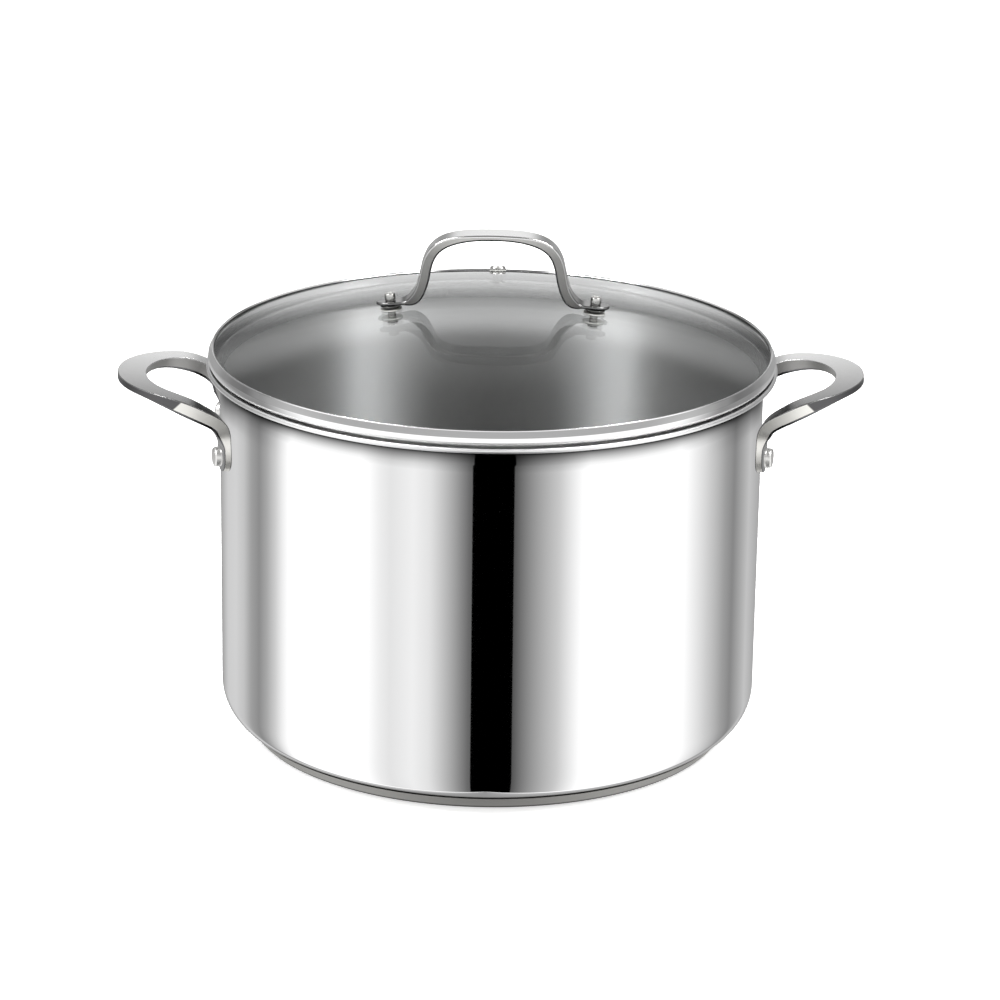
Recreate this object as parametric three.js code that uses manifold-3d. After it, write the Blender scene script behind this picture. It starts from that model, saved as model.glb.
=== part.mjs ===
// A water bath canner: a wide stainless pot with a bonded base, two riveted loop handles,
// a domed glass lid in a steel band, and a wire jar rack with two folding lifting bails.
// Millimetres, +Z up, the origin on the resting plane under the middle of the base.
// The side handles are on -X and +X, the front of the pot faces -Y.
import * as THREE from 'three';
import { mergeVertices } from 'three/addons/utils/BufferGeometryUtils.js';
import Module from 'manifold-3d';

const wasm = await Module();
wasm.setup();

const canner = new THREE.Group();
const lid = new THREE.Group(); // loose, and turned a little from the line of the side handles
canner.add(lid);

// ---- driving dimensions ----

const GAP = 0.3; // between pieces that touch
const ROUND_STEPS = 54; // facets round the pot and the lid
const SMALL_STEPS = 12; // facets round a rivet or a washer

const pot = {
  radius: 160,
  footRadius: 159.4, // outside the wall, just above the bottom corner
  wall: 1,
  floorUnder: 6,
  corner: 22,
  flareStart: 213,
  flareRadius: 10.5,
  flareTurn: Math.PI / 3,
  beadRadius: 1.5,
  beadCentre: [166.3, 223.4],
};
const floorTop = pot.floorUnder + pot.wall;

const base = { radius: 142.4, topRadius: 147.5, sheet: 0.8, height: 7.6, lift: 1.2, coreInset: 3 };

const sideHandle = {
  thickness: 4,
  bendSwell: 4.3, // the cast-like thickening under the bend
  tabBottom: 170.8,
  tabTop: 191.5,
  tabSpread: 42.4, // of each tab's middle from the handle's middle
  tabWidth: 17.6,
  armSpread: 46.4,
  armWidth: 12.4,
  gripWidth: 16.6,
  edgeRound: 0.9,
  // Along the profile from the tab's bottom: where the strip narrows, swells for the bend and thins again.
  narrowing: [11, 30],
  swelling: [14.5, 26],
  thinning: [50, 84],
  leavingWall: 20, // how far out the plate stops following the round wall
  widening: [10, 50], // to the side of the handle's middle, from the grip's width to the arm's
};
const rivet = { height: 179.6, shank: 3, head: 5.95, headHeight: 4.2, innerHead: 6, innerHeight: 1.3 };

const glass = { edge: 165.4, crown: 258.4, dome: 540, thickness: 4 };
const rim = {
  outer: 166.9,
  lip: 163.4,
  bottom: 226.5,
  top: 234.9,
  sheet: 0.8,
  skirt: 158.6,
  skirtBottom: 218.2,
};
const lidHandle = {
  lugEnd: 68.3,
  rivetAt: 59.4,
  top: 303.2,
  topWidth: 16.5,
  legWidth: 13.6,
  lugWidth: 12.6,
  lugThickness: 1.8,
  legThickness: 6.2,
  topThickness: 3.4,
  // Out from the middle: where the grip thickens into the leg, and where the leg is flattened to the lug.
  thickening: [6, 40],
  flattening: [44.5, 54],
};
const lidTurn = THREE.MathUtils.degToRad(-3.4);
const lidRivet = {
  shank: 2.4,
  barrel: 3.15,
  barrelHeight: 4.2,
  foot: 3.6,
  footHeight: 0.8,
  socket: 1.7,
  socketDepth: 2.5,
};
const gasket = { radius: 6.4, height: 0.7 };
const seat = { top: 6.2, bottom: 4.7, height: 2.2 };
const washer = { radius: 6, height: 0.6 };
// Heights above the glass at a lid rivet: a gasket, then the seat, then the lug, then the barrel.
const stack = { gasket: GAP, seat: 2 * GAP + gasket.height };
stack.lug = stack.seat + seat.height + 1.5 * GAP;
stack.rivet = stack.lug + lidHandle.lugThickness + GAP;

const vent = { at: 143, radius: 5.2, bore: 2.3, sleeve: 0.7, height: 3.6 };

const rack = {
  deckHeight: 22,
  outerRing: 143,
  middleRing: 94,
  innerRing: 46,
  ringWire: 2.5,
  spokeWire: 2,
  spokes: 8,
  spokeInner: 34,
  feet: 4,
  footHalfWidth: 15,
  footBend: 5,
  bailWire: 2,
  bailReach: 116,
  bailDroop: 3.5,
  bailHalfWidth: 42,
  eyeSpread: 50,
  eyeBore: 2.6,
  eyeWire: 1.6,
};

// ---- materials ----

const steel = (color, roughness) => new THREE.MeshStandardMaterial({ color, roughness, metalness: 1 });
const mirrorSteel = steel(0xdedfde, 0.08);
const satinSteel = steel(0xa9a8a2, 0.38);
const wireSteel = steel(0xc9cac8, 0.22);
const aluminium = steel(0xb8babd, 0.5);
const clearGlass = new THREE.MeshStandardMaterial({
  color: 0xeef4f2,
  roughness: 0.03,
  metalness: 0,
  transparent: true,
  opacity: 0.3,
});
const silicone = new THREE.MeshStandardMaterial({ color: 0xb9b9b4, roughness: 0.6, metalness: 0 });

// ---- helpers ----

// Adds one named sub-part to a group.
function piece(name, geometry, material, parent = canner) {
  const mesh = new THREE.Mesh(geometry, material);
  mesh.name = name;
  parent.add(mesh);
  return mesh;
}

// A closed geometry as a solid that can be joined and cut.
function solidOf(geometry) {
  const bare = new THREE.BufferGeometry();
  bare.setAttribute('position', geometry.getAttribute('position').clone());
  if (geometry.index) bare.setIndex(geometry.index.clone());
  const merged = mergeVertices(bare, 1e-3);
  return new wasm.Manifold(
    new wasm.Mesh({
      numProp: 3,
      vertProperties: merged.attributes.position.array,
      triVerts: new Uint32Array(merged.index.array),
    }),
  );
}

// A solid as a geometry with flat facets.
function geometryOf(solid) {
  const mesh = solid.getMesh();
  const geometry = new THREE.BufferGeometry();
  const places = new Float32Array(mesh.numVert * 3);
  for (let i = 0; i < mesh.numVert; i++) {
    const from = i * mesh.numProp;
    places.set(mesh.vertProperties.subarray(from, from + 3), i * 3);
  }
  geometry.setAttribute('position', new THREE.BufferAttribute(places, 3));
  geometry.setIndex(new THREE.BufferAttribute(mesh.triVerts, 1));
  geometry.computeVertexNormals();
  return geometry;
}

// The same closed surface, with its faces turned round if they point inwards.
function facingOut(geometry) {
  if (solidOf(geometry).volume() > 0) return geometry;
  const copy = geometry.index ? geometry.toNonIndexed() : geometry.clone();
  const at = copy.getAttribute('position');
  for (let i = 0; i < at.count; i += 3) {
    const first = new THREE.Vector3().fromBufferAttribute(at, i);
    const second = new THREE.Vector3().fromBufferAttribute(at, i + 1);
    at.setXYZ(i, second.x, second.y, second.z);
    at.setXYZ(i + 1, first.x, first.y, first.z);
  }
  return copy;
}

// A section turned round +Z. The path is (radius, height), anticlockwise, with curves in `arcSteps` steps.
function turned(path, steps, arcSteps = 4) {
  const points = path.getPoints(arcSteps).filter((p, i, all) => i === 0 || p.distanceTo(all[i - 1]) > 1e-4);
  const [first, last] = [points[0], points.at(-1)];
  if (first.distanceTo(last) > 1e-4) points.push(first.clone());
  else points[points.length - 1] = first.clone();
  return new THREE.LatheGeometry(points, steps).rotateX(Math.PI / 2);
}

// A path of straight runs through (radius, height) points.
function outline(...points) {
  const path = new THREE.Path();
  path.setFromPoints(points.map(([x, y]) => new THREE.Vector2(x, y)));
  return path;
}

// A washer, plate or sleeve: a plain ring from one height to another.
function ring(inner, outer, low, high, steps = SMALL_STEPS) {
  return turned(outline([inner, low], [outer, low], [outer, high], [inner, high]), steps);
}

// A round bar along a curve that lies in one plane, with its bends in `bendSteps` steps.
function wire(curve, normal, radius, bendSteps, sides = 8) {
  const points = curve.getPoints(bendSteps).filter((p, i, all) => i === 0 || p.distanceTo(all[i - 1]) > 1e-4);
  const section = new THREE.Shape(
    Array.from({ length: sides }, (_, i) => {
      const turn = (2 * Math.PI * i) / sides;
      return new THREE.Vector2(radius * Math.cos(turn), radius * Math.sin(turn));
    }),
  );
  const bar = carried(section, points.length, (i, across, through) => {
    const before = points[Math.max(0, i - 1)];
    const after = points[Math.min(points.length - 1, i + 1)];
    const side = after.clone().sub(before).cross(normal).normalize();
    return points[i].clone().addScaledVector(side, across).addScaledVector(normal, through);
  });
  return facingOut(bar);
}

// A bar whose flat section, one unit wide and one thick, is carried through `count` stations.
// place(station, across, through) gives where a point of the section goes.
function carried(section, count, place) {
  const geometry = new THREE.ExtrudeGeometry(section, {
    depth: count - 1,
    steps: count - 1,
    curveSegments: 5,
    bevelEnabled: false,
  });
  const at = geometry.getAttribute('position');
  for (let i = 0; i < at.count; i++) {
    const spot = place(Math.round(at.getZ(i)), at.getX(i), at.getY(i));
    at.setXYZ(i, spot.x, spot.y, spot.z);
  }
  geometry.computeVertexNormals();
  return geometry;
}

// A flat bar's section, one unit wide, with its four edges cut off by `inset` across and `round` through.
function flatBar(thickness, inset, round) {
  const [side, half, low] = [0.5 - inset, thickness / 2, thickness / 2 - round];
  const quarter = [[0.5, low], [side, half]];
  const over = quarter.map(([x, y]) => [-x, y]).reverse();
  const under = [...quarter, ...over].map(([x, y]) => [-x, -y]);
  return new THREE.Shape([...quarter, ...over, ...under].map(([x, y]) => new THREE.Vector2(x, y)));
}

const smooth = (low, high, value) => THREE.MathUtils.smoothstep(value, low, high);
const mix = THREE.MathUtils.lerp;
const glassTop = (r) => glass.crown - glass.dome + Math.sqrt(glass.dome ** 2 - r ** 2);

// ---- pot ----

function potBody() {
  const { radius, footRadius, wall, corner, flareStart, flareRadius, flareTurn } = pot;
  const cornerAt = footRadius - corner;
  const cornerHeight = pot.floorUnder + corner;
  const flareAt = radius + flareRadius;
  const [beadR, beadZ] = pot.beadCentre;
  const path = new THREE.Path();
  path.moveTo(0, pot.floorUnder);
  path.lineTo(cornerAt, pot.floorUnder);
  path.absarc(cornerAt, cornerHeight, corner, -Math.PI / 2, 0, false);
  path.lineTo(radius, flareStart);
  path.absarc(flareAt, flareStart, flareRadius, Math.PI, Math.PI - flareTurn, true);
  path.absarc(beadR, beadZ, pot.beadRadius, -Math.PI / 3, Math.PI * 0.7, false);
  path.absarc(flareAt, flareStart, flareRadius + wall, Math.PI - flareTurn, Math.PI, false);
  path.lineTo(footRadius - wall, cornerHeight);
  path.absarc(cornerAt, cornerHeight, corner - wall, 0, -Math.PI / 2, true);
  path.lineTo(0, floorTop);
  const points = path.getPoints(3);
  let body = solidOf(new THREE.LatheGeometry(points, ROUND_STEPS).rotateX(Math.PI / 2));
  for (const { azimuth } of rivetPlaces()) {
    body = body.subtract(rivetHole(azimuth));
  }
  return geometryOf(body);
}

function baseCore() {
  const top = pot.floorUnder - GAP;
  const low = base.sheet + GAP;
  return ring(0, base.radius - base.coreInset, low, top, ROUND_STEPS);
}

function baseCap() {
  const { radius, topRadius, sheet, height, lift } = base;
  return turned(
    outline(
      [0, 0],
      [radius - lift, 0],
      [radius, lift],
      [topRadius, height],
      [topRadius - sheet, height],
      [radius - sheet - 0.5, sheet + lift],
      [radius - sheet - lift, sheet],
      [0, sheet],
    ),
    ROUND_STEPS,
  );
}

// ---- side handles ----

// Where the rivets are: the angle round the pot from +X, and each one's name.
function rivetPlaces() {
  const swing = Math.asin(sideHandle.tabSpread / (pot.radius + sideHandle.thickness / 2));
  return [
    { name: 'rivet_left_front', azimuth: Math.PI + swing },
    { name: 'rivet_left_back', azimuth: Math.PI - swing },
    { name: 'rivet_right_front', azimuth: -swing },
    { name: 'rivet_right_back', azimuth: swing },
  ];
}

// Turns a geometry made along +Y to lie along the radius at an angle round the pot.
function toWall(geometry, azimuth, radius) {
  return geometry
    .rotateZ(-Math.PI / 2)
    .translate(radius, 0, rivet.height)
    .rotateZ(azimuth);
}

// A cutter through the wall and a tab for one side rivet.
function rivetHole(azimuth) {
  const radius = rivet.shank + GAP;
  const length = 6 * sideHandle.thickness;
  return solidOf(toWall(new THREE.CylinderGeometry(radius, radius, length, SMALL_STEPS), azimuth, pot.radius));
}

// The side view of a handle, from the tab's bottom to the grip's edge: out from the tab (x) and up (y).
function handleProfile() {
  const v = (x, y) => new THREE.Vector2(x, y);
  const profile = new THREE.CurvePath();
  const { tabBottom, tabTop } = sideHandle;
  profile.add(new THREE.LineCurve(v(0, tabBottom), v(0, tabTop)));
  profile.add(new THREE.CubicBezierCurve(v(0, tabTop), v(0, 201.5), v(6.5, 204.6), v(16, 209.4)));
  profile.add(new THREE.CubicBezierCurve(v(16, 209.4), v(26, 214.4), v(36, 215.1), v(64.2, 217.5)));
  return profile;
}

// Half of the handle's middle line on the flat blank: along the profile (x) and to the side (y).
function blankLine(reach) {
  const { tabSpread, armSpread, gripWidth } = sideHandle;
  const grip = reach - gripWidth / 2;
  const v = (x, y) => new THREE.Vector2(x, y);
  const line = new THREE.CurvePath();
  line.add(new THREE.LineCurve(v(0, tabSpread), v(16, tabSpread)));
  line.add(new THREE.CubicBezierCurve(v(16, tabSpread), v(28, tabSpread), v(28, armSpread), v(42, armSpread)));
  line.add(new THREE.CubicBezierCurve(v(42, armSpread), v(66, armSpread), v(grip, 27), v(grip, 0)));
  return line;
}

// The strip's width on the blank, with the tab's end rounded off.
function blankWidth(x, y) {
  const { tabWidth, armWidth, gripWidth, narrowing, widening } = sideHandle;
  const narrowed = mix(tabWidth, armWidth, smooth(...narrowing, x));
  const full = mix(gripWidth, narrowed, smooth(...widening, y));
  const end = Math.min(1, Math.max(0, x) / (tabWidth / 2));
  return full * Math.max(0.16, Math.sqrt(1 - (1 - end) ** 2));
}

// Stations along half the blank's middle line, close together round the tab's end.
function blankStations(line) {
  const roundEnd = sideHandle.tabWidth / 2;
  const endSteps = 6;
  const restSteps = 20;
  const length = line.getLength();
  const places = [];
  for (let i = 0; i < endSteps; i++) places.push(roundEnd * (1 - Math.cos((i * Math.PI) / 2 / endSteps)));
  for (let i = 0; i <= restSteps; i++) places.push(mix(roundEnd, length, i / restSteps));
  return places.map((s) => {
    const u = s / length;
    const at = line.getPointAt(Math.min(u, 1));
    const along = line.getTangentAt(Math.min(u, 1));
    return { at, side: new THREE.Vector2(-along.y, along.x), width: blankWidth(at.x, at.y) };
  });
}

// A bent plate that follows the wall at its two tabs, on +X.
function sideHandlePlate() {
  const { thickness, armSpread, bendSwell, swelling, thinning, leavingWall, edgeRound } = sideHandle;
  const profile = handleProfile();
  const reach = profile.getLength();
  const half = blankStations(blankLine(reach));
  const other = half
    .slice(0, -1)
    .reverse()
    .map(({ at, side, width }) => ({
      at: new THREE.Vector2(at.x, -at.y),
      side: new THREE.Vector2(side.x, -side.y),
      width,
    }));
  const stations = [...half, ...other];
  const tabRadius = pot.radius + GAP + thickness / 2;
  const section = flatBar(thickness, 0.06, edgeRound);
  const plate = carried(section, stations.length, (i, across, through) => {
    const { at, side, width } = stations[i];
    const x = at.x + side.x * across * width;
    const y = at.y + side.y * across * width;
    const u = THREE.MathUtils.clamp(x / reach, 0, 1);
    const spot = profile.getPointAt(u);
    const along = profile.getTangentAt(u);
    const beyond = x - u * reach;
    const leaving = smooth(0, leavingWall, spot.x);
    const onWall = Math.sqrt((tabRadius + through) ** 2 - y ** 2) - through;
    const flat = Math.sqrt(tabRadius ** 2 - armSpread ** 2);
    const from = mix(onWall, flat, leaving);
    const swell = bendSwell * smooth(...swelling, x) * (1 - smooth(...thinning, x));
    const level = through > 0 ? through * (1 + (2 * swell) / thickness) : through;
    return new THREE.Vector3(
      from + spot.x + along.x * beyond + along.y * level,
      y,
      spot.y + along.y * beyond - along.x * level,
    );
  });
  let solid = solidOf(facingOut(plate));
  for (const { azimuth } of rivetPlaces().slice(2)) {
    solid = solid.subtract(rivetHole(azimuth));
  }
  return geometryOf(solid);
}

// A solid rivet through tab and wall: a thick rounded head outside, a flat head inside.
function sideRivet() {
  const { shank, head, headHeight, innerHead, innerHeight } = rivet;
  const inner = -pot.wall - 2.5 * GAP;
  const outer = sideHandle.thickness + 2 * GAP;
  const soften = 2;
  const path = new THREE.Path();
  path.moveTo(0, inner - innerHeight);
  path.lineTo(innerHead - 0.6, inner - innerHeight);
  path.lineTo(innerHead, inner - 0.5);
  path.lineTo(innerHead, inner);
  path.lineTo(shank, inner);
  path.lineTo(shank, outer);
  path.lineTo(head - 0.6, outer);
  path.lineTo(head, outer + 1.2);
  path.lineTo(head, outer + headHeight - soften);
  path.absarc(head - soften, outer + headHeight - soften, soften, 0, Math.PI / 2, false);
  path.lineTo(0, outer + headHeight);
  return new THREE.LatheGeometry(path.getPoints(3), SMALL_STEPS);
}

// ---- lid ----

function lidGlass() {
  const { edge, thickness, crown, dome } = glass;
  const under = (r) => crown - dome + Math.sqrt((dome - thickness) ** 2 - r ** 2);
  const bands = 6;
  const spots = Array.from({ length: bands + 1 }, (_, i) => (edge * i) / bands);
  const top = spots.map((r) => [r, glassTop(r)]).reverse();
  const bottom = spots.map((r) => [r, under(r)]);
  let solid = solidOf(turned(outline(...bottom, ...top), ROUND_STEPS));
  for (const side of [-1, 1]) solid = solid.subtract(solidOf(onDome(side, drill(lidRivet.shank + GAP))));
  return geometryOf(solid.subtract(solidOf(atVent(drill(vent.bore + vent.sleeve + GAP)))));
}

// An upright cutter long enough for the glass.
const drill = (radius) => new THREE.CylinderGeometry(radius, radius, 24, SMALL_STEPS).rotateX(Math.PI / 2);

// Stands a geometry made along +Z on the dome at a handle rivet, square to the glass.
function onDome(side, geometry) {
  const lean = Math.asin(lidHandle.rivetAt / glass.dome);
  return geometry.rotateY(side * lean).translate(side * lidHandle.rivetAt, 0, glassTop(lidHandle.rivetAt));
}

// The band: a rolled lip over the glass, an outside face, a ledge under the glass and a locating skirt.
function lidRim() {
  const { outer, lip, bottom, top, sheet, skirt, skirtBottom } = rim;
  const roll = 1.7;
  const path = new THREE.Path();
  path.moveTo(lip, top - 0.9);
  path.lineTo(lip + 0.1, top - 1.8);
  path.lineTo(outer - sheet, top - roll - sheet);
  path.lineTo(outer - sheet, bottom + sheet);
  path.lineTo(skirt - sheet, bottom + sheet);
  path.lineTo(skirt - sheet, skirtBottom + 0.4);
  path.lineTo(skirt - 0.4, skirtBottom);
  path.lineTo(skirt, skirtBottom + 0.4);
  path.lineTo(skirt, bottom);
  path.lineTo(outer - 0.7, bottom);
  path.lineTo(outer, bottom + 0.7);
  path.lineTo(outer, top - roll);
  path.absarc(outer - roll, top - roll, roll, 0, Math.PI / 2, false);
  path.lineTo(lip, top - 0.9);
  return turned(path, ROUND_STEPS, 3);
}

// The lid handle's middle line: a lug, a leg, the grip, and back down.
function lidHandleLine() {
  const lug = lugHeight();
  const mid = lidHandle.top - lidHandle.topThickness / 2;
  const line = new THREE.CurvePath();
  const v = (x, z) => new THREE.Vector3(x, 0, z);
  const half = [
    [v(-lidHandle.lugEnd, lug - 0.8), v(-61, lug - 0.1), v(-59, lug + 0.1), v(-53, lug + 0.5)],
    [v(-53, lug + 0.5), v(-44.3, lug + 1.3), v(-42.6, 267), v(-40.2, 276)],
    [v(-40.2, 276), v(-37.6, 292), v(-35.5, mid), v(0, mid)],
  ];
  const mirrored = half.map((run) => run.map((p) => v(-p.x, p.z)).reverse()).reverse();
  for (const run of [...half, ...mirrored]) line.add(new THREE.CubicBezierCurve3(...run));
  return line;
}

// The height of the middle of the lug.
function lugHeight() {
  return glassTop(lidHandle.rivetAt) + stack.lug + lidHandle.lugThickness / 2;
}

function lidHandleBar() {
  const line = lidHandleLine();
  const { topThickness, legThickness, lugThickness, lugEnd, rivetAt } = lidHandle;
  const { topWidth, legWidth, lugWidth, thickening, flattening } = lidHandle;
  const count = 45;
  const tip = lugEnd + 0.1 - rivetAt;
  const stations = Array.from({ length: count }, (_, i) => {
    const u = i / (count - 1);
    const at = line.getPointAt(u);
    const along = line.getTangentAt(u);
    const outward = Math.abs(at.x);
    const flat = smooth(...flattening, outward);
    const leg = smooth(...thickening, outward);
    const end = Math.max(0, outward - rivetAt) / tip;
    return {
      at,
      up: new THREE.Vector3(-along.z, 0, along.x),
      thickness: mix(mix(topThickness, legThickness, leg), lugThickness, flat),
      width: mix(mix(topWidth, legWidth, leg), lugWidth, flat) * Math.sqrt(1 - end ** 2),
    };
  });
  const bar = carried(flatBar(1, 0.1, 0.25), count, (i, across, through) => {
    const { at, up, thickness, width: wide } = stations[i];
    return at.clone().addScaledVector(up, through * thickness).add(new THREE.Vector3(0, -across * wide, 0));
  });
  let solid = solidOf(facingOut(bar));
  for (const side of [-1, 1]) solid = solid.subtract(solidOf(onDome(side, drill(lidRivet.shank + GAP))));
  return geometryOf(solid);
}

// A hollow-ended barrel rivet: its wide end stands on the lug, its foot is closed over under the glass.
function lidBarrel() {
  const { shank, barrel, barrelHeight, foot, footHeight, socket, socketDepth } = lidRivet;
  const low = -glass.thickness - 2 * GAP - gasket.height - GAP - washer.height - GAP;
  const lug = stack.rivet;
  const top = lug + barrelHeight;
  const soften = 0.4;
  const path = outline(
    [0, low - footHeight],
    [foot - soften, low - footHeight],
    [foot, low - soften],
    [foot, low],
    [shank, low],
    [shank, lug],
    [barrel, lug],
    [barrel, top - soften],
    [barrel - soften, top],
    [socket, top],
    [socket, top - socketDepth],
    [0, top - socketDepth],
  );
  return turned(path, SMALL_STEPS);
}

function lidFittings() {
  const bore = lidRivet.shank + GAP;
  const under = -glass.thickness;
  for (const [word, side] of [['left', -1], ['right', 1]]) {
    const add = (name, geometry, material) => piece(`${name}_${word}`, onDome(side, geometry), material, lid);
    add('lid_rivet', lidBarrel(), mirrorSteel);
    add('lid_gasket_outer', ring(bore, gasket.radius, stack.gasket, stack.gasket + gasket.height), silicone);
    const dish = outline(
      [bore, stack.seat],
      [seat.bottom, stack.seat],
      [seat.top, stack.seat + seat.height * 0.6],
      [seat.top, stack.seat + seat.height],
      [bore, stack.seat + seat.height],
    );
    add('lid_spacer', turned(dish, SMALL_STEPS), satinSteel);
    const gasketTop = under - GAP;
    const washerTop = gasketTop - gasket.height - GAP;
    add('lid_gasket_inner', ring(bore, gasket.radius, gasketTop - gasket.height, gasketTop), silicone);
    add('lid_washer_inner', ring(bore, washer.radius, washerTop - washer.height, washerTop), satinSteel);
  }
}

// Stands a geometry made along +Z on the dome at the steam vent, square to the glass.
function atVent(geometry) {
  return geometry.rotateX(-Math.asin(vent.at / glass.dome)).translate(0, vent.at, glassTop(vent.at));
}

// The steam vent: a flanged eyelet rolled over a soft ring, on the middle line near the back.
function steamVent() {
  const { radius, bore, height } = vent;
  const low = -glass.thickness - GAP;
  const sleeve = bore + vent.sleeve;
  const eyelet = outline(
    [bore, low - 0.9],
    [sleeve + 1.4, low - 0.9],
    [sleeve + 1.4, low],
    [sleeve, low],
    [sleeve, 1.4],
    [radius - 0.3, 1.4],
    [radius, 1.9],
    [radius - 1.1, height - 0.1],
    [bore + 0.8, height],
    [bore, height - 0.7],
  );
  piece('steam_vent_eyelet', atVent(turned(eyelet, SMALL_STEPS)), mirrorSteel, lid);
  piece('steam_vent_gasket', atVent(ring(sleeve + GAP, radius, GAP, 1.1)), silicone, lid);
}

// ---- jar rack ----

function rackRing(radius, height, wireRadius, steps) {
  const path = new THREE.Path().absarc(radius, height, wireRadius, 0, 2 * Math.PI, false);
  return turned(path, steps, 3);
}

// One straight spoke under the rings, along +X.
function rackSpoke() {
  const height = rack.deckHeight - rack.ringWire - GAP - rack.spokeWire;
  const line = new THREE.LineCurve3(
    new THREE.Vector3(rack.spokeInner, 0, height),
    new THREE.Vector3(rack.outerRing + 1, 0, height),
  );
  return wire(line, new THREE.Vector3(0, 0, 1), rack.spokeWire, 1);
}

// A staple-shaped foot under the middle ring, on +X, standing on the pot's floor.
function rackFoot() {
  const top = rack.deckHeight - rack.ringWire - GAP;
  const low = floorTop + GAP + rack.spokeWire;
  const [half, bend] = [rack.footHalfWidth, rack.footBend];
  const v = (y, z) => new THREE.Vector3(rack.middleRing - 0.5, y, z);
  const line = new THREE.CurvePath();
  line.add(new THREE.LineCurve3(v(-half, top), v(-half, low + bend)));
  line.add(new THREE.QuadraticBezierCurve3(v(-half, low + bend), v(-half, low), v(bend - half, low)));
  line.add(new THREE.LineCurve3(v(bend - half, low), v(half - bend, low)));
  line.add(new THREE.QuadraticBezierCurve3(v(half - bend, low), v(half, low), v(half, low + bend)));
  line.add(new THREE.LineCurve3(v(half, low + bend), v(half, top)));
  return wire(line, new THREE.Vector3(1, 0, 0), rack.spokeWire, 4);
}

// Where the bails turn: on top of the outer ring, the axis along Y.
const hinge = {
  x: Math.sqrt(rack.outerRing ** 2 - rack.eyeSpread ** 2),
  z: rack.deckHeight + rack.ringWire + GAP + rack.eyeBore + 2 * rack.eyeWire,
};

function rackEye(side, end) {
  const path = new THREE.Path().absarc(rack.eyeBore + rack.eyeWire, 0, rack.eyeWire, 0, 2 * Math.PI, false);
  return turned(path, SMALL_STEPS, 3)
    .rotateX(Math.PI / 2)
    .translate(side * hinge.x, end * rack.eyeSpread, hinge.z);
}

// A folding bail on +X, lying down towards the middle: its two ends are turned out through the eyes.
function rackBail() {
  const { bailReach, bailHalfWidth, eyeSpread, bailWire } = rack;
  const [turn, corner, past] = [6, 24, 7];
  const v = (x, y) => new THREE.Vector3(x, y, 0);
  const line = new THREE.CurvePath();
  const half = [
    new THREE.LineCurve3(v(0, eyeSpread + past), v(0, bailHalfWidth + turn)),
    new THREE.QuadraticBezierCurve3(v(0, bailHalfWidth + turn), v(0, bailHalfWidth), v(-turn, bailHalfWidth)),
    new THREE.LineCurve3(v(-turn, bailHalfWidth), v(corner - bailReach, bailHalfWidth)),
    new THREE.QuadraticBezierCurve3(
      v(corner - bailReach, bailHalfWidth),
      v(-bailReach, bailHalfWidth),
      v(-bailReach, bailHalfWidth - corner),
    ),
  ];
  for (const run of half) line.add(run);
  line.add(new THREE.LineCurve3(v(-bailReach, bailHalfWidth - corner), v(-bailReach, corner - bailHalfWidth)));
  for (const run of half.reverse()) line.add(mirroredRun(run));
  const droop = Math.asin(rack.bailDroop / bailReach);
  return wire(line, new THREE.Vector3(0, 0, 1), bailWire, 6)
    .rotateY(-droop)
    .translate(hinge.x, 0, hinge.z);
}

// A run of a bail on the other side of its middle, drawn backwards so that the runs join.
function mirroredRun(run) {
  const over = (p) => new THREE.Vector3(p.x, -p.y, p.z);
  if (run instanceof THREE.LineCurve3) return new THREE.LineCurve3(over(run.v2), over(run.v1));
  return new THREE.QuadraticBezierCurve3(over(run.v2), over(run.v1), over(run.v0));
}

// ---- assembly ----

const halfTurn = (geometry) => geometry.rotateZ(Math.PI);

piece('pot_body', potBody(), mirrorSteel);
piece('base_core', baseCore(), aluminium);
piece('base_cap', baseCap(), satinSteel);
piece('side_handle_right', sideHandlePlate(), mirrorSteel);
piece('side_handle_left', halfTurn(sideHandlePlate()), mirrorSteel);
for (const { name, azimuth } of rivetPlaces()) {
  piece(name, toWall(sideRivet(), azimuth, pot.radius), satinSteel);
}

lid.rotation.z = lidTurn;
piece('lid_glass', lidGlass(), clearGlass, lid);
piece('lid_rim', lidRim(), mirrorSteel, lid);
piece('lid_handle', lidHandleBar(), mirrorSteel, lid);
lidFittings();
steamVent();

piece('rack_ring_outer', rackRing(rack.outerRing, rack.deckHeight, rack.ringWire, 48), wireSteel);
piece('rack_ring_middle', rackRing(rack.middleRing, rack.deckHeight, rack.ringWire, 36), wireSteel);
piece('rack_ring_inner', rackRing(rack.innerRing, rack.deckHeight, rack.ringWire, 28), wireSteel);
for (let i = 0; i < rack.spokes; i++) {
  const turn = (2 * Math.PI * i) / rack.spokes;
  piece(`rack_spoke_${i + 1}`, rackSpoke().rotateZ(turn), wireSteel);
}
for (let i = 0; i < rack.feet; i++) {
  const turn = (2 * Math.PI * (i + 0.25)) / rack.feet;
  piece(`rack_foot_${i + 1}`, rackFoot().rotateZ(turn), wireSteel);
}
for (const [word, side] of [['left', -1], ['right', 1]]) {
  piece(`rack_eye_${word}_front`, rackEye(side, -1), wireSteel);
  piece(`rack_eye_${word}_back`, rackEye(side, 1), wireSteel);
}
piece('rack_handle_right', rackBail(), wireSteel);
piece('rack_handle_left', halfTurn(rackBail()), wireSteel);

export default canner;
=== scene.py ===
"""Looks of a water bath canner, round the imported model: polished pot, glass lid and wire jar rack."""

import math

import bpy
import numpy as np
from mathutils import Matrix, Vector

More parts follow.
